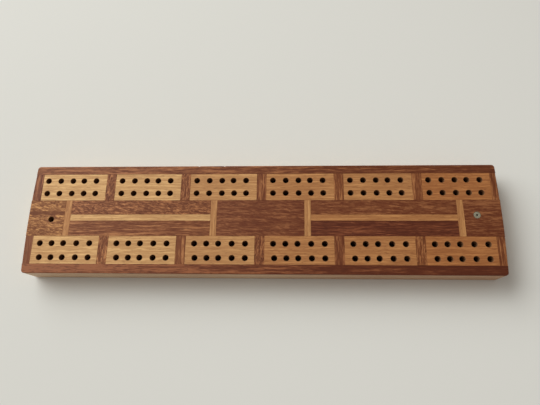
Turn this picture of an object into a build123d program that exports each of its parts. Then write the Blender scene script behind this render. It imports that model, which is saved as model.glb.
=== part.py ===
"""Inlaid cribbage board, built as a shallow box with a peg drawer in its right-hand end.

The frame is +X along the board towards the drawer, +Y away from the player and +Z up, with the
origin in the middle of the underside. All sizes are in millimetres.

The box is glued up from two long side blocks, a filler block and a cover strip between them,
and a bottom board. A marquetry top of thin dark and light pieces is laid on it, and the peg
holes are drilled through its light panels into the side blocks. The drawer runs in the bay
under the cover strip, and a steel pin, driven in from the top, hangs into the drawer and stops
its back wall when it is pulled out.
"""

from build123d import *
from math import atan2, degrees
import os

# The whole board. Its ends bow outwards a little, by the belt sander that trued them.
board_length = 266.7
board_width = 63.5
board_height = 15.9
end_bow = 0.85
corner_radius = 1.75

# Layers, from the top down.
veneer_thickness = 0.8
cover_thickness = 3.0
bottom_thickness = 2.8

# Marquetry across the board: rail, hole panels, middle band, hole panels, rail.
front_rail_width = 5.25
back_rail_width = 5.05
band_width = 21.0

# Marquetry along the board: six cells a side, parted by dividers and closed by end bars.
cells = 6
cell_margin = 0.75
divider_width = 5.5
end_bar_width = 4.05
back_row_shift = 0.6
front_row_shift = 0.0

# Marquetry of the middle band: panels at the ends and in the middle, with light strips between.
end_panel_length = 20.1
centre_panel_length = 49.65
strip_width = 3.65
band_shift = 0.2
line_shift = 0.2

# Peg holes: an outer and an inner row of five in each cell. The drilling jig's holes stray
# from an even step, by the same amounts in every cell. There are so many of them that each is
# drawn with a few flats in place of a round wall.
hole_diameter = 3.2
hole_depth = 10.0
hole_flats = 11
end_hole_margin = 4.85
row_insets = {
    "back": {"outer": 4.1, "inner": 4.3},
    "front": {"outer": 3.6, "inner": 4.4},
}
row_strays = {
    "back": {"outer": (-0.5, -0.35, -0.3, -0.95, -0.9), "inner": (-0.4, -0.35, -0.2, -0.35, -0.7)},
    "front": {"outer": (0.7, 0.15, -0.6, -0.35, -0.3), "inner": (0.0, -0.45, -1.0, -0.65, -0.4)},
}

# The game hole and the stop pin stand near the ends of the band.
game_hole_from_end = 12.75
game_hole_y = -0.8
pin_from_end = 12.85
pin_y = 1.8
pin_diameter = 3.8
pin_fit = 0.02
pin_reach = 1.6
dimple_radius = 0.45
dimple_depth = 0.35

# The drawer and its running gaps.
drawer_length = 113.0
drawer_gap = 0.3
floor_gap = 0.1
bay_end_gap = 0.5
stop_gap = 0.2
drawer_front_thickness = 6.0
drawer_side_thickness = 2.2
drawer_back_thickness = 3.0
drawer_panel_thickness = 1.6
groove_depth = 1.0
groove_rise = 0.8
side_lap = 3.0
pull_length = 16.0
pull_radius = 1.5

# Turned pegs, two to a player, which lie in the drawer.
peg_length = 38.0
peg_head_length = 10.0
peg_shank_radius = 1.45
peg_head_radius = 2.0
peg_gap = 0.15
peg_end_gap = 1.5

# Where those sizes put things.
half_length = board_length / 2
half_width = board_width / 2
outer_end = half_length + end_bow
end_span = (-outer_end, outer_end)

veneer_base = board_height - veneer_thickness
veneer_span = (veneer_base, board_height)
core_span = (bottom_thickness, veneer_base)
cover_base = veneer_base - cover_thickness

panel_width = (board_width - front_rail_width - back_rail_width - band_width) / 2
band_front = -half_width + front_rail_width + panel_width
band_back = band_front + band_width
band_span = (band_front, band_back)
front_panel_span = (band_front - panel_width, band_front)
back_panel_span = (band_back, band_back + panel_width)

cell_pitch = (board_length - 2 * cell_margin) / cells
cell_length = cell_pitch - divider_width
hole_step = (cell_length - 2 * end_hole_margin) / 4
hole_radius = hole_diameter / 2

strip_outer = half_length - end_panel_length
strip_inner = centre_panel_length / 2

pin_x = half_length - pin_from_end
pin_radius = pin_diameter / 2
game_hole_x = -half_length + game_hole_from_end

drawer_back_x = half_length - drawer_length
drawer_front_x = half_length - drawer_front_thickness
drawer_travel = pin_x - pin_radius - stop_gap - (drawer_back_x + drawer_back_thickness)
bay_end = drawer_back_x - bay_end_gap
drawer_y = (band_front + drawer_gap, band_back - drawer_gap)
drawer_z = (bottom_thickness + floor_gap, cover_base - drawer_gap)
inside_y = (drawer_y[0] + drawer_side_thickness, drawer_y[1] - drawer_side_thickness)
panel_z = (drawer_z[0] + groove_rise, drawer_z[0] + groove_rise + drawer_panel_thickness)
drawer_floor = panel_z[1]

pieces = {}


def bar(x_span, y_span, z_span):
    """A squared piece between two values of x, of y and of z."""
    spans = (x_span, y_span, z_span)
    sizes = [high - low for low, high in spans]
    middle = [(low + high) / 2 for low, high in spans]
    return Pos(*middle) * Box(*sizes)


def board_blank():
    """The whole board's outer form, with bowed ends and rounded corners."""
    outline = Curve() + [
        Line((-half_length, -half_width), (half_length, -half_width)),
        ThreePointArc((half_length, -half_width), (outer_end, 0), (half_length, half_width)),
        Line((half_length, half_width), (-half_length, half_width)),
        ThreePointArc((-half_length, half_width), (-outer_end, 0), (-half_length, -half_width)),
    ]
    face = make_face(outline)
    return extrude(fillet(face.vertices(), corner_radius), board_height)


blank = board_blank()


def trimmed(piece):
    """A piece cut back to the board's outer form."""
    return piece & blank


def peg_hole(x, y):
    """A blind peg hole from the board's top."""
    hole = extrude(RegularPolygon(hole_radius, hole_flats), hole_depth)
    return Pos(x, y, board_height - hole_depth) * hole


def game_hole():
    """The round hole that keeps count of the games."""
    return Pos(game_hole_x, game_hole_y, board_height - hole_depth / 2) * Cylinder(hole_radius, hole_depth)


def pin_hole():
    """The hole through marquetry and cover strip that the stop pin is driven into."""
    depth = veneer_thickness + cover_thickness
    return Pos(pin_x, pin_y, board_height - depth / 2) * Cylinder(pin_radius + pin_fit, depth)


def cell_centres(shift):
    """The middle of each cell of a side, from left to right."""
    return [shift + cell_pitch * (i - (cells - 1) / 2) for i in range(cells)]


def row_ends(shift):
    """Where the hole panels of a side start and stop, between the end bars."""
    return shift - half_length + end_bar_width, shift + half_length - end_bar_width


def panel_spans(shift):
    """The x span of each hole panel. The first and last fill what the end bars leave."""
    spans = [[x - cell_length / 2, x + cell_length / 2] for x in cell_centres(shift)]
    spans[0][0], spans[-1][1] = row_ends(shift)
    return spans


def hole_row_y(side, panel_y):
    """The y of the outer and the inner row of holes on one side of the board."""
    insets = row_insets[side]
    if side == "back":
        return {"outer": panel_y[1] - insets["outer"], "inner": panel_y[0] + insets["inner"]}
    return {"outer": panel_y[0] + insets["outer"], "inner": panel_y[1] - insets["inner"]}


def cell_holes(side, panel_y, centre):
    """The ten peg holes of the cell with its middle at x = centre."""
    holes = []
    for row, y in hole_row_y(side, panel_y).items():
        for i, stray in enumerate(row_strays[side][row]):
            holes.append(peg_hole(centre + (i - 2) * hole_step + stray, y))
    return holes


def drilled_side(side, block_y, panel_y, shift):
    """A side block and the six hole panels on it, drilled together."""
    drilled = []
    for i, (x_span, centre) in enumerate(zip(panel_spans(shift), cell_centres(0)), start=1):
        holes = cell_holes(side, panel_y, centre)
        pieces[f"{side}_hole_panel_{i}"] = bar(x_span, panel_y, veneer_span) - holes
        drilled += holes
    pieces[f"{side}_block"] = trimmed(bar(end_span, block_y, core_span)) - drilled


def box_pieces():
    """The glued-up box under the marquetry, and its bottom board."""
    drilled_side("back", (band_back, half_width), back_panel_span, back_row_shift)
    drilled_side("front", (-half_width, band_front), front_panel_span, front_row_shift)
    board_y = (-half_width, half_width)
    cover_span = (cover_base, veneer_base)
    pieces["bottom_board"] = trimmed(bar(end_span, board_y, (0, bottom_thickness)))
    pieces["filler_block"] = trimmed(bar((-outer_end, bay_end), band_span, core_span)) - game_hole()
    pieces["cover_strip"] = trimmed(bar((bay_end, outer_end), band_span, cover_span)) - pin_hole()


def side_frame(side, panel_y, shift):
    """The dividers and end bars that frame the hole panels of one side."""
    spans = panel_spans(shift)
    for i, (left, right) in enumerate(zip(spans, spans[1:]), start=1):
        pieces[f"{side}_divider_{i}"] = bar((left[1], right[0]), panel_y, veneer_span)
    row_start, row_stop = row_ends(shift)
    pieces[f"{side}_left_end_bar"] = trimmed(bar((-outer_end, row_start), panel_y, veneer_span))
    pieces[f"{side}_right_end_bar"] = trimmed(bar((row_stop, outer_end), panel_y, veneer_span))


def band_end_panels():
    """The dark panels at the ends of the band, round the game hole and the stop pin."""
    left_x = (-outer_end, band_shift - strip_outer)
    right_x = (band_shift + strip_outer, outer_end)
    pieces["left_end_panel"] = trimmed(bar(left_x, band_span, veneer_span)) - game_hole()
    pieces["right_end_panel"] = trimmed(bar(right_x, band_span, veneer_span)) - pin_hole()


def band_half(name, sign):
    """One half of the band: two light cross strips, and a light line between two dark fields."""
    outer = band_shift + sign * strip_outer
    inner = band_shift + sign * strip_inner
    outer_edge = outer - sign * strip_width
    inner_edge = inner + sign * strip_width
    field_x = sorted((outer_edge, inner_edge))
    line_middle = (band_front + band_back) / 2 + line_shift
    line_y = (line_middle - strip_width / 2, line_middle + strip_width / 2)
    pieces[f"{name}_outer_strip"] = bar(sorted((outer, outer_edge)), band_span, veneer_span)
    pieces[f"{name}_inner_strip"] = bar(sorted((inner, inner_edge)), band_span, veneer_span)
    pieces[f"{name}_line"] = bar(field_x, line_y, veneer_span)
    pieces[f"{name}_back_field"] = bar(field_x, (line_y[1], band_back), veneer_span)
    pieces[f"{name}_front_field"] = bar(field_x, (band_front, line_y[0]), veneer_span)


def marquetry():
    """The dark and light pieces of the top that frame and join the hole panels."""
    back_rail_y = (back_panel_span[1], half_width)
    front_rail_y = (-half_width, front_panel_span[0])
    centre_x = (band_shift - strip_inner, band_shift + strip_inner)
    pieces["back_rail"] = trimmed(bar(end_span, back_rail_y, veneer_span))
    pieces["front_rail"] = trimmed(bar(end_span, front_rail_y, veneer_span))
    side_frame("back", back_panel_span, back_row_shift)
    side_frame("front", front_panel_span, front_row_shift)
    band_end_panels()
    band_half("left", -1)
    band_half("right", 1)
    pieces["centre_panel"] = bar(centre_x, band_span, veneer_span)


def stop_pin():
    """The steel pin, flush with the top, with a centre dimple."""
    tip = cover_base - pin_reach
    profile = Polyline(
        (0, tip),
        (pin_radius, tip),
        (pin_radius, board_height),
        (dimple_radius, board_height),
        (0, board_height - dimple_depth),
        (0, tip),
    )
    return Pos(pin_x, pin_y, 0) * revolve(Plane.XZ * make_face(profile), Axis.Z)


def drawer_front():
    """The drawer's front, flush with the board's end, with laps, a groove and a finger pull."""
    front = trimmed(bar((drawer_front_x, outer_end), drawer_y, drawer_z))
    lap_x = (drawer_front_x, drawer_front_x + side_lap)
    front -= bar(lap_x, (drawer_y[0], inside_y[0]), drawer_z)
    front -= bar(lap_x, (inside_y[1], drawer_y[1]), drawer_z)
    front -= bar((drawer_front_x, drawer_front_x + groove_depth), inside_y, panel_z)
    middle_y = (drawer_y[0] + drawer_y[1]) / 2
    middle_z = (drawer_z[0] + drawer_z[1]) / 2
    half_straight = pull_length / 2 - pull_radius
    pull = Rot(90, 0, 0) * Cylinder(pull_radius, 2 * half_straight)
    pull += Pos(0, half_straight, 0) * Sphere(pull_radius)
    pull += Pos(0, -half_straight, 0) * Sphere(pull_radius)
    return front - Pos(outer_end, middle_y, middle_z) * pull


def drawer_side(y_span, groove_y):
    """A drawer side, grooved along its inner face for the bottom panel."""
    side = bar((drawer_back_x, drawer_front_x + side_lap), y_span, drawer_z)
    return side - bar((drawer_back_x, drawer_front_x + side_lap), groove_y, panel_z)


def drawer_pieces():
    """The drawer: the sides are lapped into the front, and the back stands on the bottom panel."""
    low, high = inside_y
    back_x = (drawer_back_x, drawer_back_x + drawer_back_thickness)
    panel_x = (drawer_back_x, drawer_front_x + groove_depth)
    pieces["drawer_front"] = drawer_front()
    pieces["drawer_near_side"] = drawer_side((drawer_y[0], low), (low - groove_depth, low))
    pieces["drawer_far_side"] = drawer_side((high, drawer_y[1]), (high, high + groove_depth))
    pieces["drawer_back"] = bar(back_x, inside_y, (drawer_floor, drawer_z[1]))
    pieces["drawer_bottom"] = bar(panel_x, (low - groove_depth, high + groove_depth), panel_z)


def peg():
    """A turned peg along +X with its tip at x = 0: a plain shank and a thicker head."""
    shoulder = peg_length - peg_head_length
    profile = Polyline(
        (0, 0),
        (0, peg_shank_radius),
        (shoulder, peg_shank_radius),
        (shoulder, peg_head_radius),
        (peg_length, peg_head_radius),
        (peg_length, 0),
        (0, 0),
    )
    return revolve(make_face(profile), Axis.X)


def lying_peg(start_x, lane_y, head_first):
    """A peg on the drawer's floor, tilted so that its tip and its head's shoulder rest there."""
    shoulder = peg_length - peg_head_length
    tilt = degrees(atan2(peg_head_radius - peg_shank_radius, shoulder))
    turned = Rot(0, -tilt, 0) * peg()
    if head_first:
        turned = Rot(0, 0, 180) * turned
    low = turned.bounding_box().min
    return Pos(start_x - low.X, lane_y, drawer_floor + peg_gap - low.Z) * turned


def peg_pieces():
    """A pair of pegs in a lane along each side of the drawer, clear of the pin's path."""
    lanes = {
        "dark": inside_y[0] + peg_gap + peg_head_radius,
        "light": inside_y[1] - peg_gap - peg_head_radius,
    }
    first_x = drawer_back_x + drawer_back_thickness + peg_end_gap
    second_x = first_x + peg_length + peg_end_gap
    for colour, lane_y in lanes.items():
        pieces[f"{colour}_peg_1"] = lying_peg(first_x, lane_y, colour == "dark")
        pieces[f"{colour}_peg_2"] = lying_peg(second_x, lane_y, colour == "light")


box_pieces()
marquetry()
pieces["stop_pin"] = stop_pin()
drawer_pieces()
peg_pieces()

os.makedirs("parts", exist_ok=True)
for name, piece in pieces.items():
    export_step(piece, f"parts/{name}.step")
print("nodes", len(pieces), "drawer travel", round(drawer_travel, 3))
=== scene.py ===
"""Looks of the inlaid cribbage box with a peg drawer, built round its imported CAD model.

Plans and sections are drawn in millimetres in the frame of the CAD model: +X along the board
towards the drawer, +Y away from the player and +Z up. A mesh is turned to metres as it is made.
"""

import math
import random
from collections import namedtuple
from types import SimpleNamespace

import bmesh
import bpy
from mathutils import Euler, Matrix, Vector
from mathutils.geometry import delaunay_2d_cdt


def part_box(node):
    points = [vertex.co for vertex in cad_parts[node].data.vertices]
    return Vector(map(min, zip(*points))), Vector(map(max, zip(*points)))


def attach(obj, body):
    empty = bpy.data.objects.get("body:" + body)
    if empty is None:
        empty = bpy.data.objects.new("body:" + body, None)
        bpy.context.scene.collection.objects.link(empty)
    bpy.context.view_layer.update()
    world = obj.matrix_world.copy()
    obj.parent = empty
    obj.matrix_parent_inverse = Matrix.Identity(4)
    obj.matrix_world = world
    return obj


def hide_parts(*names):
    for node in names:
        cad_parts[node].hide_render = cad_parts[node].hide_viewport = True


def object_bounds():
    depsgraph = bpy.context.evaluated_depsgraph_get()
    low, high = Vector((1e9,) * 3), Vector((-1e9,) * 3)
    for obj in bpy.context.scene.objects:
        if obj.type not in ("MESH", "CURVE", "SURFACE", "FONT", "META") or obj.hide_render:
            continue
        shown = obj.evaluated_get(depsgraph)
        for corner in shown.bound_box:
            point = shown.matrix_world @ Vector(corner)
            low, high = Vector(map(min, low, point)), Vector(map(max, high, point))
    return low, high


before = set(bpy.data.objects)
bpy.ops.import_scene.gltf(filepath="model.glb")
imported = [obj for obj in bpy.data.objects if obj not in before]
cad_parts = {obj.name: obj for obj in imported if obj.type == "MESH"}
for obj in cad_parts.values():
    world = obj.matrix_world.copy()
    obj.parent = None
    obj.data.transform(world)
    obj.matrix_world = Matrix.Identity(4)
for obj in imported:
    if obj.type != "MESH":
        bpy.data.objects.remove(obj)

bl_info = {
    "name": "Inlaid cribbage box",
    "version": (1, 0, 0),
    "blender": (4, 5, 0),
    "location": "3D View > Sidebar > Cribbage box",
    "description": "Builds an inlaid cribbage board with a drawer for its pegs",
    "category": "Object",
}

MM = 0.001
CAD_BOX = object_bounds()
BOARD_END = CAD_BOX[1].x / MM
HALF_WIDTH = CAD_BOX[1].y / MM
# Points and faces that are nearer to each other than this, in millimetres, count as one.
SAME = 0.01
# The bow and the round corners of the board's ends lie within this many millimetres of them.
END_DEPTH = 2.5


def linear(hex_colour):
    """A linear RGBA colour from an sRGB hex value such as #a06040."""
    parts = [int(hex_colour[i : i + 2], 16) / 255 for i in (1, 3, 5)]
    return tuple(p / 12.92 if p <= 0.04045 else ((p + 0.055) / 1.055) ** 2.4 for p in parts) + (1.0,)


# ----------------------------------------------------------
# Settings that a user would change
# ----------------------------------------------------------


def length_setting(name, description, millimetres):
    """A length, given here in millimetres."""
    return bpy.props.FloatProperty(
        name=name,
        description=description,
        default=millimetres * MM,
        min=0.0,
        unit="LENGTH",
        precision=5,
    )


def colour_setting(name, description, hex_colour):
    """A colour, given here as an sRGB hex value."""
    return bpy.props.FloatVectorProperty(
        name=name,
        description=description,
        default=linear(hex_colour),
        size=4,
        subtype="COLOR",
        min=0.0,
        max=1.0,
    )


class CRIBBAGE_PG_board(bpy.types.PropertyGroup):
    """Sizes of the sanded edges and the drilled holes."""

    end_bow: length_setting("End bow", "How far the middle of an end stands out past its corners", 0.85)
    corner_radius: length_setting("Corner radius", "Radius of the board's four corners in plan", 1.75)
    arris: length_setting("Arris", "Rounding of the board's outer edges by sanding", 0.4)
    seam: length_setting("Seam", "Half the width of the glue line between two pieces of the top", 0.05)
    hole_rim: length_setting("Hole rim", "Easing of the rim of a peg hole by sanding", 0.18)
    drill_point: length_setting("Drill point", "Depth of the cone that the drill leaves in a hole", 0.8)


class CRIBBAGE_PG_woods(bpy.types.PropertyGroup):
    """Colours of the woods and of the steel."""

    brown: colour_setting("Brown sapele", "Middle tone of the lightest dark veneer", "#7f4d2c")
    russet: colour_setting("Russet sapele", "Middle tone of the deepest dark veneer", "#60301b")
    golden: colour_setting("Golden sapele", "Middle tone of the golden end panel", "#875730")
    pale: colour_setting("Pale maple", "Middle tone of the palest light veneer", "#bf9664")
    tan: colour_setting("Tan maple", "Middle tone of the deepest light veneer", "#9c653a")
    box: colour_setting("Box wood", "Middle tone of the box under the top", "#b8987a")
    drawer: colour_setting("Drawer wood", "Middle tone of the drawer", "#c4a47f")
    walnut: colour_setting("Dark pegs", "Middle tone of the dark pegs", "#4a2f20")
    peg_maple: colour_setting("Light pegs", "Middle tone of the light pegs", "#d9bc8c")
    steel: colour_setting("Steel", "Colour of the zinc-plated stop pin", "#8c8a78")


class CRIBBAGE_PG_stage(bpy.types.PropertyGroup):
    """The floor, the lamps and the background."""

    floor: colour_setting("Floor", "Colour of the floor", "#e2e3e0")
    backdrop: colour_setting("Backdrop", "Colour that the camera sees beyond the floor", "#e9e6e1")
    fill: colour_setting("Fill light", "Colour of the light from all round", "#fdf3e8")
    fill_strength: bpy.props.FloatProperty(
        name="Fill strength", description="Level of the light from all round", default=0.36, min=0.0
    )
    key_power: bpy.props.FloatProperty(
        name="Key power",
        description="Power of the large lamp at the back left",
        default=3.45,
        min=0.0,
        unit="POWER",
    )


GROUPS = {
    "cribbage_board": CRIBBAGE_PG_board,
    "cribbage_woods": CRIBBAGE_PG_woods,
    "cribbage_stage": CRIBBAGE_PG_stage,
}


def board_sizes():
    """The board's settings in millimetres."""
    board = bpy.context.scene.cribbage_board
    names = CRIBBAGE_PG_board.__annotations__
    return SimpleNamespace(**{name: getattr(board, name) / MM for name in names})


# ----------------------------------------------------------
# Plans: closed outlines in millimetres, anticlockwise, with the inset of each edge
# ----------------------------------------------------------

Plan = namedtuple("Plan", "points insets")
# The corners of a chip in the back rail's edge, from right to left, seen from where it is placed.
CHIP = ((0.9, 0.0), (0.2, -0.28), (-0.7, 0.0))
# Two edges that turn by less than this sine, about one degree, are treated as one straight edge.
STRAIGHT = 0.02


def corners(node):
    """The lowest and highest corner of a CAD node in millimetres."""
    low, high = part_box(node)
    return low / MM, high / MM


def end_line():
    """The line of the board's right-hand end from front to back, bowed, with rounded corners."""
    size = board_sizes()
    bow, corner = size.end_bow, size.corner_radius
    radius = (HALF_WIDTH**2 + bow**2) / (2 * bow)
    centre_x = BOARD_END - radius
    corner_y = HALF_WIDTH - corner
    corner_x = centre_x + math.sqrt((radius - corner) ** 2 - corner_y**2)
    start = math.atan2(corner_y, corner_x - centre_x)
    steps = 10
    half = []
    for i in range(steps + 1):
        turn = start * i / steps
        half.append(Vector((centre_x + radius * math.cos(turn), radius * math.sin(turn))))
    for i in range(1, steps + 1):
        turn = start + (math.pi / 2 - start) * i / steps
        half.append(Vector((corner_x + corner * math.cos(turn), corner_y + corner * math.sin(turn))))
    return [Vector((p.x, -p.y)) for p in reversed(half[1:])] + half


def end_part(y_low, y_high, trim):
    """The part of the right-hand end's line between two values of y, moved in by a trim."""
    line = end_line()
    slack = 1e-4
    part = []
    for before, after in zip(line, line[1:]):
        for y in (y_low, y_high):
            if before.y < y < after.y:
                part.append(before.lerp(after, (y - before.y) / (after.y - before.y)))
    part += [p for p in line if y_low - slack <= p.y <= y_high + slack]
    part.sort(key=lambda p: p.y)
    spaced = [part[0]] + [b for a, b in zip(part, part[1:]) if (b - a).length > SAME]
    return [Vector((p.x - trim, p.y)) for p in spaced]


def board_plan(node, outer, seam, trims=(0.0, 0.0), chips=()):
    """The plan of a node of the board. Edges on the board's outside get the outer inset."""
    low, high = corners(node)
    sides = []
    for sign, x, trim in ((1, high.x, trims[1]), (-1, low.x, trims[0])):
        at_end = abs(x) > BOARD_END - END_DEPTH
        if at_end:
            line = [Vector((sign * p.x, p.y)) for p in end_part(low.y, high.y, trim)]
        else:
            line = [Vector((x, y)) for y in (low.y, high.y)]
        sides.append((line if sign > 0 else line[::-1], outer if at_end else seam))
    (right, right_inset), (left, left_inset) = sides
    back = [Vector((x + dx, high.y + dy)) for x in sorted(chips, reverse=True) for dx, dy in CHIP]
    back_inset = outer if high.y > HALF_WIDTH - SAME else seam
    front_inset = outer if low.y < SAME - HALF_WIDTH else seam
    insets = [right_inset] * (len(right) - 1) + [back_inset] * (len(back) + 1)
    insets += [left_inset] * (len(left) - 1) + [front_inset]
    return Plan(right + back + left, insets)


def bar_plan(points, inset):
    """A plan from plain pairs with one inset all round."""
    return Plan([Vector(p) for p in points], [inset] * len(points))


def moved_in(plan, share):
    """The plan's points after each edge has moved in by a share of its inset."""
    count = len(plan.points)
    moved = []
    for i, here in enumerate(plan.points):
        into = (here - plan.points[i - 1]).normalized()
        out = (plan.points[(i + 1) % count] - here).normalized()
        a, b = plan.insets[i - 1] * share, plan.insets[i] * share
        turn = into.x * out.y - into.y * out.x
        if abs(turn) < STRAIGHT:
            side = into + out
            moved.append(here + Vector((-side.y, side.x)).normalized() * (a + b) / 2)
        else:
            moved.append(here + (out * a - into * b) / turn)
    return moved


# ----------------------------------------------------------
# Solids
# ----------------------------------------------------------

Hole = namedtuple("Hole", "x y radius floor")
# How a plan with its levels is turned, by the axis that the levels follow.
TURNS = {"z": Matrix.Identity(3), "x": Matrix(((0, 0, 1), (1, 0, 0), (0, 1, 0)))}
HOLE_SIDES = 36
# A triangle is in a hole if its middle is nearer the hole's than this share of the radius. The
# flats of the hole's ring are at 0.996 of it, and slivers between points of the ring within 0.990.
IN_HOLE = 0.995
# The turns at which the rounded rim of a hole has a ring, from flat on top to plumb.
RIM_TURNS = (0.0, 0.12, 0.5, 1.0, math.pi / 2)
# An eased edge is made of two chamfers, which meet at this share of it.
CHAMFER = 0.3
# Edges that turn by more than this are shown sharp.
CREASE = math.radians(38)


def round_hole_ring(hole, radius):
    """Points round a hole at a radius."""
    turns = [2 * math.pi * i / HOLE_SIDES for i in range(HOLE_SIDES)]
    return [Vector((hole.x + radius * math.cos(t), hole.y + radius * math.sin(t))) for t in turns]


def cap_triangles(outline, holes):
    """Triangles over an outline less its holes, as indices into outline + hole rings."""
    points, edges = [], []
    for loop in [outline] + [round_hole_ring(h, h.radius) for h in holes]:
        first = len(points)
        points += loop
        edges += [(first + i, first + (i + 1) % len(loop)) for i in range(len(loop))]
    _, _, faces, origins, _, _ = delaunay_2d_cdt(points, edges, [], 1, 1e-6)
    triangles = []
    for face in faces:
        ids = [origins[i][0] for i in face]
        middle = sum((points[i] for i in ids), Vector((0, 0))) / len(ids)
        if all((middle - Vector((h.x, h.y))).length > h.radius * IN_HOLE for h in holes):
            triangles.append(ids)
    return triangles


def rounded_levels(low, high, drop, steps=4):
    """Levels of a side that is plumb from low up to a rounded top edge."""
    turns = [math.pi / 2 * i / steps for i in range(steps + 1)]
    top = [(high - drop * (1 - math.sin(t)), 1 - math.cos(t)) for t in turns]
    return [(low, 0.0)] + top


def eased_levels(low, high, ease):
    """Levels of a side with a small easing at its top and bottom edges."""
    bend = ease * CHAMFER
    lower = [(low, 1.0), (low + bend, CHAMFER), (low + ease, 0.0)]
    return lower + [(high - ease, 0.0), (high - bend, CHAMFER), (high, 1.0)]


def solid(plan, levels, holes=(), rim=0.0, point=0.0, axis="z"):
    """A closed solid with the plan drawn at each level, from the lowest to the highest.

    A level is its height and the share of the insets that it takes. A hole with a floor of None
    goes right through, and any other ends in a drill point.
    """
    made = bmesh.new()
    worn = made.verts.layers.float.new("worn")
    drilled = made.verts.layers.float.new("drilled")
    turn = TURNS[axis] * MM

    def ring(points, height, wear=0.0, painted_shade=0.0):
        verts = [made.verts.new(turn @ Vector((p.x, p.y, height))) for p in points]
        for v in verts:
            v[worn] = wear
            v[drilled] = painted_shade
        return verts

    def wall(lower, upper):
        for i in range(len(lower)):
            j = (i + 1) % len(lower)
            made.faces.new((lower[i], lower[j], upper[j], upper[i])).smooth = True

    # An edge is worn the most halfway round it.
    rings = [ring(moved_in(plan, share), z, 4 * share * (1 - share)) for z, share in levels]
    for lower, upper in zip(rings, rings[1:]):
        wall(lower, upper)
    bottom, top = levels[0][0], levels[-1][0]
    tops, bottoms = list(rings[-1]), list(rings[0])
    for hole in holes:
        column = []
        for t in RIM_TURNS if rim else RIM_TURNS[-1:]:
            radius, height = hole.radius + rim * (1 - math.sin(t)), top - rim * (1 - math.cos(t))
            # The rounded rim and the wall are marked drilled, which darkens them as painted shade.
            column.append(ring(round_hole_ring(hole, radius), height, painted_shade=float(t > 0.0)))
        tops += column[0]
        floor = bottom if hole.floor is None else hole.floor + point
        column.append(ring(round_hole_ring(hole, hole.radius), floor, painted_shade=1.0))
        if hole.floor is None:
            bottoms += column[-1]
        else:
            tip = ring([hole], hole.floor, painted_shade=1.0)[0]
            for i in range(HOLE_SIDES):
                made.faces.new((column[-1][i], column[-1][(i + 1) % HOLE_SIDES], tip))
        for upper, lower in zip(column, column[1:]):
            wall(upper, lower)
    for ids in cap_triangles(plan.points, holes):
        made.faces.new([tops[i] for i in ids]).smooth = False
    for ids in cap_triangles(plan.points, [h for h in holes if h.floor is None]):
        made.faces.new([bottoms[i] for i in reversed(ids)]).smooth = False
    return made


def turned(profile, place, sides=40, dimple=0.0):
    """A solid turned about its own Z axis from (radius, height) pairs, pole to pole, then placed.

    Within the radius of the dimple, its upper part is marked as drilled.
    """
    made = bmesh.new()
    made.verts.layers.float.new("worn")
    drilled = made.verts.layers.float.new("drilled")
    rings = []
    for radius, height in profile:
        turns = [2 * math.pi * i / sides for i in range(sides)] if radius > 0.0 else [0.0]
        spots = [Vector((radius * math.cos(t), radius * math.sin(t), height)) for t in turns]
        rings.append([made.verts.new(place @ spot * MM) for spot in spots])
    for lower, upper in zip(rings, rings[1:]):
        for i in range(sides):
            j = (i + 1) % sides
            a, b = lower[i % len(lower)], lower[j % len(lower)]
            c, d = upper[j % len(upper)], upper[i % len(upper)]
            made.faces.new(list(dict.fromkeys((a, b, c, d)))).smooth = True
    middle = sum(height for _, height in profile) / len(profile)
    for ring, (radius, height) in zip(rings, profile):
        for v in ring:
            v[drilled] = float(radius <= dimple and height > middle and dimple > 0.0)
    return made


def new_object(name, data):
    """An object in the scene for a mesh, a lamp or a lens."""
    made = bpy.data.objects.new(name, data)
    bpy.context.scene.collection.objects.link(made)
    return made


def mesh_object(name, made, crease=math.pi):
    """An object from a bmesh, with its faces outward and its edges sharp from the crease on."""
    made.normal_update()
    bmesh.ops.recalc_face_normals(made, faces=made.faces)
    for edge in made.edges:
        edge.smooth = edge.calc_face_angle(math.pi) < crease
    mesh = bpy.data.meshes.new(name)
    made.to_mesh(mesh)
    made.free()
    return new_object(name, mesh)


def place_piece(name, made, material, body, slot, *nodes):
    """Makes the piece's object, lets it ride on its body and stand for its CAD nodes."""
    piece = mesh_object(name, made, CREASE)
    piece.data.materials.append(material)
    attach(piece, body)
    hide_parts(*nodes)
    return piece


def read_holes(node, floor=None):
    """The round holes of a node, from the vertices that its top face has inside its outline."""
    low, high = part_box(node)
    # Within this of the outline are its own vertices, and within a hole's width those of one hole.
    edge, width = 0.4 * MM, 4.2
    end = (BOARD_END - END_DEPTH) * MM
    spots = set()
    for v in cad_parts[node].data.vertices:
        x, y, z = v.co
        inside = low.x + edge < x < high.x - edge and low.y + edge < y < high.y - edge
        if inside and z > high.z - SAME * MM and abs(x) < end:
            spots.add((round(x / MM, 4), round(y / MM, 4)))
    groups = []
    for spot in sorted(spots):
        near = [g for g in groups if (Vector(g[0]) - Vector(spot)).length < width]
        if near:
            near[0].append(spot)
        else:
            groups.append([spot])
    holes = []
    for group in groups:
        middle = sum((Vector(s) for s in group), Vector((0, 0))) / len(group)
        radius = sum((Vector(s) - middle).length for s in group) / len(group)
        holes.append(Hole(middle.x, middle.y, radius, floor))
    return holes


# ----------------------------------------------------------
# Materials
# ----------------------------------------------------------


def add(tree, kind, inputs=None, stops=None, **settings):
    """Adds a shader node. An input is linked if it is a socket, and set otherwise.

    A colour ramp comes with two stops, which the first two take, and gets the others after them.
    """
    made = tree.nodes.new(f"ShaderNode{kind}")
    for name, value in settings.items():
        setattr(made, name, value)
    for name, value in (inputs or {}).items():
        if isinstance(value, bpy.types.NodeSocket):
            tree.links.new(value, made.inputs[name])
        else:
            made.inputs[name].default_value = value
    for i, (position, colour) in enumerate(stops or ()):
        elements = made.color_ramp.elements
        stop = elements[i] if i < 2 else elements.new(position)
        stop.position, stop.color = position, colour
    return made


def calculate(tree, operation, *values):
    """What a math node makes of numbers or sockets."""
    return add(tree, "Math", dict(enumerate(values)), operation=operation).outputs[0]


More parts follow.
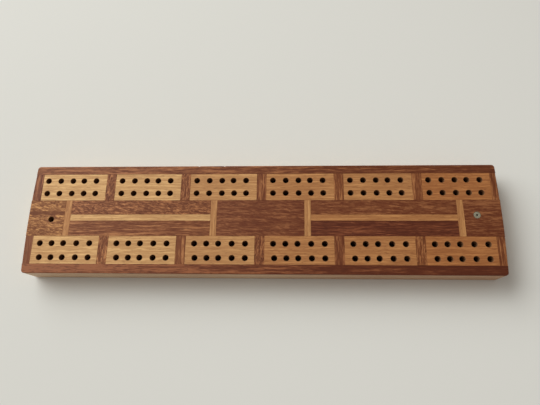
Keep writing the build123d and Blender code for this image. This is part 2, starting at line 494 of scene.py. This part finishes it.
def remap(tree, value, source, target, interpolation="LINEAR"):
    """A value moved from one range to another, and held at its ends."""
    names = ("Value", "From Min", "From Max", "To Min", "To Max")
    inputs = dict(zip(names, (value, *source, *target)))
    return add(tree, "MapRange", inputs, interpolation_type=interpolation).outputs[0]


def blend(tree, share, first, second):
    """A colour that lies a share of the way from the first to the second."""
    inputs = {0: share, 6: first, 7: second}
    return add(tree, "Mix", inputs, data_type="RGBA").outputs[2]


def scaled(tree, vector, scale):
    """A vector with each of its parts multiplied."""
    return add(tree, "VectorMath", {0: vector, 1: scale}, operation="MULTIPLY").outputs[0]


def mark(tree, name):
    """A mark that the meshes carry: worn for sanded edges, drilled for the walls and rims of holes,
    which get painted shade, and for the pin's dimple.
    """
    return add(tree, "Attribute", attribute_name=name).outputs["Fac"]


def blank_material(name):
    """A new material with an empty node tree, and that tree."""
    material = bpy.data.materials.new(name)
    material.use_nodes = True
    material.node_tree.nodes.clear()
    return material, material.node_tree


def shade_of(colour, factor, warmth=0.0):
    """A shade of a colour by a factor. Warmth gives it more red and less blue."""
    r, g, b = (c * factor for c in colour[:3])
    return (min(1.0, r * (1 + warmth)), min(1.0, g), min(1.0, b * (1 - 0.4 * warmth)), 1.0)


# How the grain of a piece is drawn. Lengths run along the grain and widths across it, in
# millimetres. Shares say how much of the tone comes from long streaks, from short flecks and
# from fine fibres. Twist and slant are how the flecks curl and how far they lean, in degrees;
# contrast is how steeply the tone swings and spread how far; lines and pores are how dark the
# growth lines and the open pores are. Rings is how many times wider the grain is drawn across a
# board than through it, so that its end shows growth rings. Real pores and fibres are a tenth of
# a millimetre wide, so they are drawn several times as coarse to show at all.
Figure = namedtuple(
    "Figure",
    "wave streak streak_share fleck fleck_share twist slant fibre_share "
    "contrast spread lines pore pores rings",
    defaults=(1.0,),
)
FIGURES = {
    # Quarter-sawn and straight: long even streaks.
    "straight": Figure(
        0.9, (24, 1.2), 0.4, (6, 0.6), 0.38, 0.4, 0, 0.22, 1.75, 0.85, 0.05, (3.6, 0.45), 0.7
    ),
    # Plain-sawn, with a slow wave and a smooth surface.
    "smooth": Figure(
        2.0, (50, 1.8), 0.5, (10, 0.65), 0.3, 0.3, 0, 0.2, 1.3, 0.5, 0.05, (5, 0.45), 0.45
    ),
    # Interlocked grain, which the sander leaves as short flecks that lean one way.
    "mottled": Figure(
        1.2, (14, 1.6), 0.22, (2.6, 0.65), 0.54, 0.8, 10, 0.24, 1.75, 1.02, 0.02, (2.2, 0.5), 0.6
    ),
    # Ripples, a few millimetres long, across a slow wave.
    "rippled": Figure(
        1.5, (20, 1.3), 0.32, (4.2, 0.62), 0.46, 0.6, 5, 0.22, 1.8, 0.68, 0.04, (3, 0.45), 0.6
    ),
    # Short coarse streaks with dark pits.
    "pitted": Figure(
        1.0, (9, 1.1), 0.38, (3.2, 0.62), 0.42, 0.6, 4, 0.2, 1.9, 0.92, 0.03, (2.2, 0.65), 1.8
    ),
    # Close, even diffuse-porous wood with faint lines.
    "fine": Figure(
        0.5, (30, 1.0), 0.46, (7, 0.5), 0.34, 0.2, 0, 0.2, 1.5, 0.25, 0.05, (3.4, 0.42), 0.55
    ),
    # A solid board, sawn flat: lines along it, and rings in its end grain.
    "board": Figure(
        1.1, (60, 1.3), 0.56, (14, 0.6), 0.26, 0.2, 0, 0.18, 1.1, 0.26, 0.06, (10, 0.4), 0.3, 7.0
    ),
}
# Millimetres: the slow wave's length, along and across the grain, a fibre's length and width, and
# how far a seed of one moves the pattern.
WAVE = (32, 7, 7)
FIBRE = (7, 0.28)
SEED_STEP = (137, 71, 53)
# The noise that makes up the tone lies mostly within this much of its middle value, a half.
SWING = 0.16
# The stops of a wood's colours, the two outer ones first: where each lies from the darkest at -1
# to the lightest at 1, how far its shade is from the middle one, and its share of the warmth.
TONE_STOPS = ((-1, -1.7, 1), (1, 1.7, -0.5), (-0.4, -0.6, 0.45), (0.08, 0, 0), (0.5, 0.7, -0.25))


def grain_layers(tree, place, grain, along, seed):
    """Four patterns of the grain: its streaks, its flecks, its fibres and its pores."""
    mapping = {
        "Vector": place,
        "Scale": [1 / MM] * 3,
        "Rotation": (0, 0, -math.pi / 2 if along == "y" else 0),
        "Location": [seed * step for step in SEED_STEP],
    }
    in_mm = add(tree, "Mapping", mapping).outputs[0]
    # The slow wave: the grain wanders sideways by a millimetre or so every few centimetres.
    wave_place = scaled(tree, in_mm, [1 / length for length in WAVE])
    wave = add(tree, "TexNoise", {"Vector": wave_place, "Scale": 1.0, "Detail": 1.0})
    sideways = (0, grain.wave * 2, grain.wave * 2)
    bending = {0: wave.outputs["Color"], 1: sideways, 2: in_mm}
    bent = add(tree, "VectorMath", bending, operation="MULTIPLY_ADD").outputs[0]
    lean = {0: bent, "Rotation": (0, 0, math.radians(grain.slant))}
    leaning = add(tree, "Mapping", lean).outputs[0]
    layers = []
    for source, (length, width), twist, detail in (
        (bent, grain.streak, 0.15, 4.0),
        (leaning, grain.fleck, grain.twist, 3.0),
        (bent, FIBRE, 0.1, 2.0),
        (bent, grain.pore, 0.1, 1.0),
    ):
        stretch = (1 / length, 1 / width / grain.rings, 1 / width)
        noise = {
            "Vector": scaled(tree, source, stretch),
            "Scale": 1.0,
            "Detail": detail,
            "Roughness": 0.6,
            "Distortion": twist,
        }
        layers.append(add(tree, "TexNoise", noise).outputs[0])
    return layers


def wood(
    name, middle, figure, along, seed, tone=0.0, band=None, lean=None, roughness=0.5, warmth=0.4
):
    """Wood with its grain along an axis. The seed moves the pattern, and the tone lightens it.

    A band is a darker growth line: its place across the grain and its half width, in
    millimetres. Lean is how much the tone rises along x and along y, for each millimetre.
    Warmth is how much redder than the middle colour the darkest streaks are.
    """
    grain = FIGURES[figure]
    material, tree = blank_material(name)
    place = add(tree, "TexCoord").outputs["Object"]
    streaks, flecks, fibres, pores = grain_layers(tree, place, grain, along, seed)
    value = calculate(tree, "MULTIPLY_ADD", streaks, grain.streak_share, tone)
    value = calculate(tree, "MULTIPLY_ADD", flecks, grain.fleck_share, value)
    value = calculate(tree, "MULTIPLY_ADD", fibres, grain.fibre_share, value)
    # Growth lines: thin and dark, wherever the long streaks turn from light to dark.
    turning = calculate(tree, "ABSOLUTE", calculate(tree, "SUBTRACT", streaks, 0.49))
    depths = (-grain.lines, grain.lines * 0.25)
    lines = remap(tree, turning, (0.005, 0.045), depths, "SMOOTHSTEP")
    value = calculate(tree, "ADD", value, lines)
    if lean:
        slope = (lean[0] / MM, lean[1] / MM, 0)
        rise = add(tree, "VectorMath", {0: place, 1: slope}, operation="DOT_PRODUCT")
        value = calculate(tree, "ADD", value, rise.outputs["Value"])
    if band:
        at, half_width = band
        across = add(tree, "SeparateXYZ", {0: place}).outputs["Y"]
        away = calculate(tree, "ABSOLUTE", calculate(tree, "SUBTRACT", across, at * MM))
        fading = (half_width * 0.4 * MM, half_width * MM)
        value = calculate(tree, "ADD", value, remap(tree, away, fading, (-0.1, 0.0), "SMOOTHSTEP"))
    stops = []
    for at, far, share in TONE_STOPS:
        factor = 1 + grain.spread * far if far >= 0 else 1 / (1 - grain.spread * far)
        shade = shade_of(middle, factor, warmth * share)
        stops.append((0.5 + SWING / grain.contrast * at, shade))
    tones = add(tree, "ValToRGB", {0: value}, stops=stops).outputs[0]
    # Pores are cut open by the knife as short dark dashes.
    openings = (0.32, 0.36 + 0.04 * grain.pores)
    pits = remap(tree, pores, openings, (min(1.0, grain.pores), 0.0))
    coloured = blend(tree, pits, tones, shade_of(middle, 0.42, 0.16))
    # Sanding has rubbed the sharp edges paler.
    rubbed = calculate(tree, "MULTIPLY", mark(tree, "worn"), 0.3)
    coloured = blend(tree, rubbed, coloured, shade_of(middle, 1.5, -0.02))
    # Painted shade: the walls of the holes and their rounded rims are darkened to a mid brown, so that
    # the holes read dark and wide.
    coloured = blend(tree, mark(tree, "drilled"), coloured, linear("#6b4a30"))
    relief = calculate(tree, "MULTIPLY_ADD", pits, -0.7, fibres)
    relief = {"Height": relief, "Strength": 0.35, "Distance": 0.06 * MM}
    surface = {
        "Base Color": coloured,
        "Roughness": remap(tree, value, (0.4, 0.6), (roughness + 0.07, roughness - 0.04)),
        "Normal": add(tree, "Bump", relief).outputs[0],
        "Specular IOR Level": 0.16,
    }
    shader = add(tree, "BsdfPrincipled", surface)
    add(tree, "OutputMaterial", {0: shader.outputs[0]})
    return material


def planed_birch(node, colour, along, seed, tone, roughness, lean=None):
    """The wood of a board of the box or of the drawer."""
    name = f"planed_birch_{node}"
    return wood(name, colour, "board", along, seed, tone, None, lean, roughness, 0.2)


def zinc_plated_steel(colour):
    """Drawn steel rod, zinc plated and sanded flush: dull grey-green with fine scratches."""
    material, tree = blank_material("zinc_plated_steel_sanded")
    place = add(tree, "TexCoord").outputs["Object"]
    # Patches of dulled zinc are about a third of a millimetre across.
    patches = {"Vector": place, "Scale": 2800.0, "Detail": 3.0, "Roughness": 0.6}
    patches = add(tree, "TexNoise", patches).outputs[0]
    # Scratches are about a tenth of a millimetre wide and eight times as long.
    scratches = {"Vector": scaled(tree, place, (1500, 12000, 3000)), "Scale": 1.0, "Detail": 2.0}
    scratches = add(tree, "TexNoise", scratches).outputs[0]
    stops = [(0.32, shade_of(colour, 0.5, 0.15)), (0.66, shade_of(colour, 1.15))]
    tones = add(tree, "ValToRGB", {0: patches}, stops=stops).outputs[0]
    relief = {"Height": scratches, "Strength": 0.25, "Distance": 0.02 * MM}
    surface = {
        # The dimple is coloured nearly black.
        "Base Color": blend(tree, mark(tree, "drilled"), tones, linear("#2b2822")),
        "Roughness": remap(tree, scratches, (0.35, 0.65), (0.5, 0.66)),
        "Normal": add(tree, "Bump", relief).outputs[0],
        "Metallic": 0.75,
    }
    shader = add(tree, "BsdfPrincipled", surface)
    add(tree, "OutputMaterial", {0: shader.outputs[0]})
    return material


# ----------------------------------------------------------
# Pieces
# ----------------------------------------------------------


class Step:
    """What the operators share: each is one step of the building and can be undone."""

    bl_options = {"REGISTER", "UNDO"}


class CRIBBAGE_OT_stage(Step, bpy.types.Operator):
    """Add the floor, the lamps, the background and the camera."""

    bl_idname = "cribbage.stage"
    bl_label = "Stage"

    def execute(self, context):
        stage = context.scene.cribbage_stage
        self.floor(stage)
        self.background(context, stage)
        self.lamps(stage)
        self.camera(context)
        context.scene.view_settings.view_transform = "Standard"
        return {"FINISHED"}

    def floor(self, stage):
        """A plain floor, a hair below the board so that no two faces share a plane."""
        reach, below = 2.5, 0.02 * MM
        mesh = bpy.data.meshes.new("stage_floor")
        spots = [(-reach, -reach, 0), (reach, -reach, 0), (reach, reach, 0), (-reach, reach, 0)]
        mesh.from_pydata(spots, [], [(0, 1, 2, 3)])
        floor = new_object("stage_floor", mesh)
        floor.location.z = -below
        material, tree = blank_material("matt_floor")
        near = add(tree, "BsdfDiffuse", {"Color": tuple(stage.floor), "Roughness": 0.6})
        # From 0.22 to 0.75 m off, the floor runs into the backdrop, as studio paper does.
        backdrop = {"Color": tuple(stage.backdrop), "Strength": 1.0}
        far = add(tree, "Emission", backdrop)
        place = add(tree, "TexCoord").outputs["Object"]
        away = add(tree, "VectorMath", {0: place}, operation="LENGTH")
        fade = remap(tree, away.outputs["Value"], (0.22, 0.75), (0.0, 1.0), "SMOOTHSTEP")
        fade = calculate(tree, "MULTIPLY", fade, self.seen(tree))
        both = {0: fade, 1: near.outputs[0], 2: far.outputs[0]}
        both = add(tree, "MixShader", both)
        add(tree, "OutputMaterial", {0: both.outputs[0]})
        mesh.materials.append(material)

    def seen(self, tree):
        """1 where a ray comes from the camera, a reflection or glass, and 0 where it only lights."""
        rays = add(tree, "LightPath").outputs
        direct = calculate(tree, "MAXIMUM", rays["Is Camera Ray"], rays["Is Glossy Ray"])
        return calculate(tree, "MAXIMUM", direct, rays["Is Transmission Ray"])

    def background(self, context, stage):
        """A soft light from all round, with the plain backdrop where the camera looks."""
        world = bpy.data.worlds.new("stage_world")
        world.use_nodes = True
        tree = world.node_tree
        tree.nodes.clear()
        fill = {"Color": tuple(stage.fill), "Strength": stage.fill_strength}
        backdrop = {"Color": tuple(stage.backdrop), "Strength": 1.0}
        light, shown = (add(tree, "Background", inputs) for inputs in (fill, backdrop))
        both = {0: self.seen(tree), 1: light.outputs[0], 2: shown.outputs[0]}
        both = add(tree, "MixShader", both)
        add(tree, "OutputWorld", {0: both.outputs[0]})
        context.scene.world = world

    def lamps(self, stage):
        """One large soft lamp at the back left. Its size and its place are in metres."""
        lamp = bpy.data.lights.new("key_lamp", "AREA")
        lamp.shape, lamp.size, lamp.size_y = "RECTANGLE", 0.85, 0.7
        lamp.energy = stage.key_power
        lamp.spread = math.radians(105)
        lamp.color = linear("#fdfefb")[:3]
        key = new_object("key_lamp", lamp)
        key.location = (-0.5, 0.38, 0.54)
        key.rotation_euler = (-key.location).to_track_quat("-Z", "Y").to_euler()

    def camera(self, context):
        """The photo's lens and place, fitted to its outline and its hole centres."""
        lens = bpy.data.cameras.new("camera")
        lens.lens, lens.sensor_width = 31.98, 36.0
        lens.clip_start, lens.clip_end = 0.01, 20.0
        camera = new_object("camera", lens)
        camera.location = (0.01888, -0.07362, 0.27609)
        camera.rotation_euler = Euler([math.radians(a) for a in (17.675, 2.684, 0.777)])
        context.scene.camera = camera


class CRIBBAGE_OT_box_body(Step, bpy.types.Operator):
    """Add the glued-up box under the top: its bottom, side blocks, filler and cover strip."""

    bl_idname = "cribbage.box_body"
    bl_label = "Box body"

    def execute(self, context):
        size, colour = board_sizes(), context.scene.cribbage_woods.box
        # The wood is browner towards the drawer's end.
        # Darker towards the drawer's end: partly painted shade of the light's falloff to the right, and
        # partly the wood's own browner tone.
        browning_and_shade = (-0.0006, 0.0)
        boards = {
            "bottom_board": (0.31, 0.0),
            "back_block": (1.7, 0.004),
            "front_block": (2.3, -0.004),
            "filler_block": (3.1, 0.008),
            "cover_strip": (4.9, 0.0),
        }
        for node, (seed, tone) in boards.items():
            low, high = corners(node)
            if node == "bottom_board":
                # Its lower edges are sanded round, and its upper ones meet the blocks at a seam.
                plan = board_plan(node, size.arris, size.arris)
                levels = eased_levels(0.0, high.z, size.arris)[:3]
                levels += [(high.z - size.seam * 2, 0.0), (high.z, size.seam / size.arris)]
            else:
                plan = board_plan(node, size.seam * 1.6, size.seam)
                levels = eased_levels(low.z, high.z, size.seam * 2)
            material = planed_birch(node, colour, "x", seed, tone, 0.55, browning_and_shade)
            made = solid(plan, levels, self.holes(node, low), point=size.drill_point)
            place_piece(f"{node}_piece", made, material, "box", "box_wood", node)
        return {"FINISHED"}

    def holes(self, node, low):
        """The holes in the top of a board, which for a side block are those of its hole panels."""
        if node == "bottom_board":
            return []
        if node == "cover_strip":
            return read_holes(node)
        if node == "filler_block":
            return read_holes(node, self.hole_floor(node, low))
        side, floor = node.split("_")[0], self.hole_floor(node, low)
        return [h for i in range(1, 7) for h in read_holes(f"{side}_hole_panel_{i}", floor)]

    def hole_floor(self, node, low):
        """The height of a node's hole floors: its lowest vertices above its underside."""
        heights = [v.co.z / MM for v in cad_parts[node].data.vertices]
        return min(z for z in heights if z > low.z + 1.0)


# How each piece of the top looks: where it lies between its two colours, its figure and seed, and
# what is particular to it. Trims are how far its left and right ends are sanded back.
Look = namedtuple(
    "Look",
    "ripe figure seed tone band lean trims chips colours",
    defaults=(0.0, None, None, (0.0, 0.0), (), None),
)
# For each veneer, the slot of its pieces, its two colours and the warmth of its dark streaks.
VENEERS = {
    "sliced_sapele": ("dark_veneer", ("brown", "russet"), 0.4),
    "sliced_maple": ("light_veneer", ("pale", "tan"), 0.12),
}

# The rails' leans darken them towards the right: partly painted shade of the light's falloff, partly
# their own tone.
RAILS = {
    "back_rail": Look(0.5, "straight", 1.13, lean=(-0.0004, 0.0), chips=(-36.5, -21.5)),
    "front_rail": Look(0.84, "straight", 2.41, lean=(-0.0009, 0.0)),
}
BARS = {
    "back_left_end_bar": Look(0.7, "straight", 3.7, trims=(0.15, 0.0)),
    "back_right_end_bar": Look(0.3, "straight", 4.9, trims=(0.0, 0.2)),
    "front_left_end_bar": Look(0.5, "smooth", 5.3, trims=(0.15, 0.0)),
    "front_right_end_bar": Look(0.3, "straight", 6.1, trims=(0.0, 0.1)),
    "back_divider_1": Look(0.35, "mottled", 7.7),
    "back_divider_2": Look(0.12, "mottled", 8.2),
    "back_divider_3": Look(0.3, "straight", 9.1),
    "back_divider_4": Look(0.05, "straight", 10.3),
    "back_divider_5": Look(0.2, "straight", 11.9),
    "front_divider_1": Look(0.0, "pitted", 12.7),
    "front_divider_2": Look(0.1, "straight", 13.1),
    "front_divider_3": Look(0.42, "pitted", 14.6),
    "front_divider_4": Look(0.55, "straight", 15.2),
    "front_divider_5": Look(0.08, "pitted", 16.8),
}
FIELDS = {
    "left_end_panel": Look(0.0, "mottled", 17.2, band=(2.9, 1.6), colours=("golden", "golden")),
    "left_back_field": Look(0.2, "mottled", 18.3),
    "left_front_field": Look(0.25, "straight", 19.6),
    # Its lean darkens it towards the right: partly painted shade of the light's falloff, partly its own
    # tone.
    "centre_panel": Look(0.66, "rippled", 20.4, lean=(-0.0008, 0.0)),
    "right_back_field": Look(0.58, "rippled", 21.7),
    "right_front_field": Look(1.0, "straight", 22.5, -0.02),
    "right_end_panel": Look(0.65, "rippled", 23.8, lean=(0.0, 0.003)),
}
# How far the strips and the hole panels, from left to right, lie from pale to tan. The panels deepen
# steadily towards the right, partly as painted shade of the light's falloff and partly by their own
# tone.
STRIP_RIPENESS = {"left_outer": 0.72, "left_inner": 0.62, "right_inner": 0.6, "right_outer": 0.7}
PANEL_TONE_AND_SHADE = {"back": (0.0, 0.1, 0.5, 0.75, 0.75, 1.0), "front": (0.1, 0.2, 0.5, 0.8, 0.85, 1.0)}


def top_piece(context, node, look, along, veneer, holes=()):
    """Lays one piece of the marquetry: a thin plate, sanded at its edges, with its own figure."""
    size, woods = board_sizes(), context.scene.cribbage_woods
    slot, colours, warmth = VENEERS[veneer]
    low, high = corners(node)
    plan = board_plan(node, size.arris, size.seam, look.trims, look.chips)
    first, second = (getattr(woods, name) for name in look.colours or colours)
    colour = [a + (b - a) * look.ripe for a, b in zip(first, second)]
    own = (look.figure, along, look.seed, look.tone, look.band, look.lean)
    material = wood(f"{veneer}_{node}", colour, *own, warmth=warmth)
    made = solid(plan, rounded_levels(low.z, high.z, size.arris), holes, rim=size.hole_rim)
    place_piece(f"{node}_piece", made, material, "box", slot, node)


class CRIBBAGE_OT_rails(Step, bpy.types.Operator):
    """Add the two dark rails along the long edges of the top."""

    bl_idname = "cribbage.rails"
    bl_label = "Rails"

    def execute(self, context):
        for node, look in RAILS.items():
            top_piece(context, node, look, "x", "sliced_sapele")
        return {"FINISHED"}


class CRIBBAGE_OT_bars(Step, bpy.types.Operator):
    """Add the dark dividers and end bars, which lie across the board."""

    bl_idname = "cribbage.bars"
    bl_label = "Dividers and end bars"

    def execute(self, context):
        for node, look in BARS.items():
            top_piece(context, node, look, "y", "sliced_sapele")
        return {"FINISHED"}


class CRIBBAGE_OT_hole_panels(Step, bpy.types.Operator):
    """Add the twelve light panels with their peg holes."""

    bl_idname = "cribbage.hole_panels"
    bl_label = "Hole panels"

    def execute(self, context):
        draw = random.Random(7)
        for side, ripeness in PANEL_TONE_AND_SHADE.items():
            for i, ripe in enumerate(ripeness, 1):
                node = f"{side}_hole_panel_{i}"
                look = Look(ripe, "fine", 30 + draw.uniform(0, 20))
                top_piece(context, node, look, "x", "sliced_maple", read_holes(node))
        return {"FINISHED"}


class CRIBBAGE_OT_band(Step, bpy.types.Operator):
    """Add the middle band: dark panels and fields, and light strips and lines."""

    bl_idname = "cribbage.band"
    bl_label = "Middle band"

    def execute(self, context):
        for node, look in FIELDS.items():
            top_piece(context, node, look, "x", "sliced_sapele", read_holes(node))
        for i, (name, ripe) in enumerate(STRIP_RIPENESS.items()):
            look = Look(ripe, "fine", 60 + 3.1 * i)
            top_piece(context, f"{name}_strip", look, "y", "sliced_maple")
        for i, name in enumerate(("left", "right")):
            look = Look(0.1 + 0.7 * i, "fine", 80 + 5.3 * i)
            top_piece(context, f"{name}_line", look, "x", "sliced_maple")
        return {"FINISHED"}


class CRIBBAGE_OT_stop_pin(Step, bpy.types.Operator):
    """Add the steel stop pin, flush with the top, with a dimple in its middle."""

    bl_idname = "cribbage.stop_pin"
    bl_label = "Stop pin"

    def execute(self, context):
        low, high = corners("stop_pin")
        radius = (high.x - low.x) / 2
        length = high.z - low.z
        dimple = 0.5
        profile = [
            (0.0, length - 0.75),
            (0.25, length - 0.6),
            (dimple, length - 0.12),
            (0.62, length - 0.05),
            (0.85, length - 0.06),
            (1.25, length - 0.03),
            (radius - 0.3, length),
            (radius - 0.1, length - 0.04),
            (radius, length - 0.16),
            (radius, 0.3),
            (radius - 0.3, 0.0),
            (0.0, 0.0),
        ]
        middle = Matrix.Translation(((low.x + high.x) / 2, (low.y + high.y) / 2, low.z))
        steel = zinc_plated_steel(context.scene.cribbage_woods.steel)
        made = turned(profile, middle, dimple=dimple)
        place_piece("stop_pin_piece", made, steel, "box", "steel", "stop_pin")
        return {"FINISHED"}


class CRIBBAGE_OT_drawer(Step, bpy.types.Operator):
    """Add the drawer: front with a finger pull, grooved sides, back and bottom panel."""

    bl_idname = "cribbage.drawer"
    bl_label = "Drawer"
    ease = 0.25

    def execute(self, context):
        colour = context.scene.cribbage_woods.drawer
        boards = {
            "drawer_near_side": (self.side("drawer_near_side", 1), "x", 41.0, 0.0),
            "drawer_far_side": (self.side("drawer_far_side", -1), "x", 43.3, 0.006),
            "drawer_back": (self.plain("drawer_back"), "y", 45.1, -0.004),
            "drawer_bottom": (self.plain("drawer_bottom"), "x", 47.9, 0.012),
            "drawer_front": (self.front(), "y", 49.2, -0.006),
        }
        for node, (made, along, seed, tone) in boards.items():
            material = planed_birch(node, colour, along, seed, tone, 0.58)
            piece = place_piece(f"{node}_piece", made, material, "drawer", "drawer_wood", node)
            if node == "drawer_front":
                self.cut_front(context, piece)
        return {"FINISHED"}

    def plain(self, node):
        """A squared board with its long edges eased."""
        low, high = corners(node)
        points = [(low.x, low.y), (high.x, low.y), (high.x, high.y), (low.x, high.y)]
        return solid(bar_plan(points, self.ease * 0.5), eased_levels(low.z, high.z, self.ease * 0.5))

    def side(self, node, inner):
        """A side with the groove for the bottom panel in its inner face, drawn end on."""
        low, high = corners(node)
        panel_low, panel_high = corners("drawer_bottom")
        face = high.y if inner > 0 else low.y
        groove = panel_low.y if inner > 0 else panel_high.y
        outer = low.y if inner > 0 else high.y
        points = [
            (outer, low.z),
            (face, low.z),
            (face, panel_low.z),
            (groove, panel_low.z),
            (groove, panel_high.z),
            (face, panel_high.z),
            (face, high.z),
            (outer, high.z),
        ]
        if inner < 0:
            points = points[::-1]
        ease = self.ease * 0.3
        return solid(bar_plan(points, ease), eased_levels(low.x, high.x, ease), axis="x")

    def front(self):
        """The front in plan: a face flush with the board's end, and laps for the sides."""
        low, high = corners("drawer_front")
        near = corners("drawer_near_side")[1]
        far = corners("drawer_far_side")[0]
        line = end_part(low.y, high.y, 0.0)
        points = [(low.x, near.y), (near.x, near.y), (near.x, low.y)]
        points += [(p.x, p.y) for p in line]
        points += [(near.x, high.y), (near.x, far.y), (low.x, far.y)]
        return solid(bar_plan(points, self.ease), eased_levels(low.z, high.z, self.ease))

    def cut_front(self, context, piece):
        """Cuts the finger pull and the groove for the bottom panel out of the front."""
        low, high = corners("drawer_front")
        panel_low, panel_high = corners("drawer_bottom")
        middle = Vector((high.x, (low.y + high.y) / 2, (low.z + high.z) / 2))
        groove_low = Vector((low.x - 1, panel_low.y - 1, panel_low.z))
        groove_high = Vector((panel_high.x, panel_high.y + 1, panel_high.z))
        cutters = [
            # The pull is a round-bottomed scoop, and the second capsule eases its mouth.
            self.capsule(middle, 1.5, 16.0),
            self.capsule(middle + Vector((1.35, 0, 0)), 2.2, 16.9),
            self.block(groove_low, groove_high),
        ]
        for i, made in enumerate(cutters):
            cutter = mesh_object(f"cutter_{i}", made)
            cut = piece.modifiers.new("cut", "BOOLEAN")
            cut.operation, cut.solver, cut.object = "DIFFERENCE", "EXACT", cutter
            context.view_layer.update()
            shaped = piece.evaluated_get(context.evaluated_depsgraph_get())
            mesh = bpy.data.meshes.new_from_object(shaped)
            piece.modifiers.clear()
            piece.data = mesh
            bpy.data.objects.remove(cutter)

    def capsule(self, middle, radius, length):
        """A round-ended bar along Y."""
        made = bmesh.new()
        bmesh.ops.create_uvsphere(made, u_segments=48, v_segments=15, radius=radius)
        stretch = length / 2 - radius
        for v in made.verts:
            v.co = Vector((v.co.x, v.co.z + math.copysign(stretch, v.co.z), v.co.y))
            v.co = (v.co + middle) * MM
        return made

    def block(self, low, high):
        """A squared block between two corners."""
        made = bmesh.new()
        bmesh.ops.create_cube(made, size=1.0)
        for v in made.verts:
            v.co = Vector([low[i] + (high[i] - low[i]) * (v.co[i] + 0.5) for i in range(3)]) * MM
        return made


class CRIBBAGE_OT_pegs(Step, bpy.types.Operator):
    """Add the four turned pegs that lie in the drawer."""

    bl_idname = "cribbage.pegs"
    bl_label = "Pegs"
    # Millimetres: the radii of the shank and the head, the shoulder's height and the whole length.
    shank, head, shoulder, length = 1.45, 2.0, 28.0, 38.0
    sides = 28

    def execute(self, context):
        woods = context.scene.cribbage_woods
        kinds = {
            "dark": ("turned_walnut", woods.walnut, "dark_peg_wood", -1),
            "light": ("turned_maple", woods.peg_maple, "light_peg_wood", 1),
        }
        for colour, (species, tone, slot, direction) in kinds.items():
            for i in (1, 2):
                node = f"{colour}_peg_{i}"
                seed = 90 + 4 * i + len(colour)
                material = wood(f"{species}_{node}", tone, "smooth", "x", seed, roughness=0.36)
                made = turned(self.profile(), self.place(node, direction), self.sides)
                place_piece(f"{node}_piece", made, material, "drawer", slot, node)
        return {"FINISHED"}

    def profile(self):
        """Half a peg from its tip: a tapered shank, a shoulder, a waisted head and a round top."""
        points = [(0.0, 0.0), (0.7, 0.05)]
        for narrower, height in ((0.42, 0.25), (0.3, 0.8), (0.22, 9.0), (0.1, 19.0)):
            points.append((self.shank - narrower, height))
        points += [(self.shank, self.shoulder - 0.3), (self.shank + 0.1, self.shoulder)]
        waist = ((0.12, 0.06), (0.0, 0.25), (0.0, 1.15), (0.14, 1.35), (0.42, 1.7), (0.55, 3.2))
        for narrower, height in waist + ((0.45, 4.6), (0.2, 6.0), (0.02, 7.2)):
            points.append((self.head - narrower, self.shoulder + height))
        steps = 6
        for i in range(1, steps):
            turn = math.pi / 2 * i / steps
            height = self.length - self.head + self.head * math.sin(turn)
            points.append((self.head * math.cos(turn), height))
        return points + [(0.0, self.length)]

    def place(self, node, direction):
        """The place of a peg whose tip and shoulder rest on the drawer's floor."""
        low, high = corners(node)
        tilt = math.atan2(self.head - self.shank, self.shoulder)
        tip_x = (low.x if direction > 0 else high.x) + direction * self.shank * math.sin(tilt)
        tip = Vector((tip_x, (low.y + high.y) / 2, low.z + self.shank * math.cos(tilt)))
        along = Vector((direction * math.cos(tilt), 0, math.sin(tilt)))
        return Matrix.Translation(tip) @ along.to_track_quat("Z", "Y").to_matrix().to_4x4()


STEPS = (
    CRIBBAGE_OT_stage,
    CRIBBAGE_OT_box_body,
    CRIBBAGE_OT_rails,
    CRIBBAGE_OT_bars,
    CRIBBAGE_OT_hole_panels,
    CRIBBAGE_OT_band,
    CRIBBAGE_OT_stop_pin,
    CRIBBAGE_OT_drawer,
    CRIBBAGE_OT_pegs,
)


class CRIBBAGE_PT_sidebar(bpy.types.Panel):
    """Lists the steps and the settings of the cribbage box."""

    bl_idname = "CRIBBAGE_PT_sidebar"
    bl_label = "Cribbage box"
    bl_space_type = "VIEW_3D"
    bl_region_type = "UI"
    bl_category = "Cribbage box"

    def draw(self, context):
        for step in STEPS:
            self.layout.operator(step.bl_idname)
        for name in GROUPS:
            group, box = getattr(context.scene, name), self.layout.box()
            for setting in group.__annotations__:
                box.prop(group, setting)


def register():
    """Registers the settings, the steps and the sidebar."""
    for group in GROUPS.values():
        bpy.utils.register_class(group)
    for name, group in GROUPS.items():
        setattr(bpy.types.Scene, name, bpy.props.PointerProperty(type=group))
    for step in STEPS:
        bpy.utils.register_class(step)
    bpy.utils.register_class(CRIBBAGE_PT_sidebar)


def unregister():
    """Takes all of it out again."""
    bpy.utils.unregister_class(CRIBBAGE_PT_sidebar)
    for step in reversed(STEPS):
        bpy.utils.unregister_class(step)
    for name in GROUPS:
        delattr(bpy.types.Scene, name)
    for group in reversed(list(GROUPS.values())):
        bpy.utils.unregister_class(group)


def main():
    """Builds the whole scene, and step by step."""
    register()
    for step in STEPS:
        family, name = step.bl_idname.split(".")
        getattr(getattr(bpy.ops, family), name)()


if __name__ == "__main__":
    main()
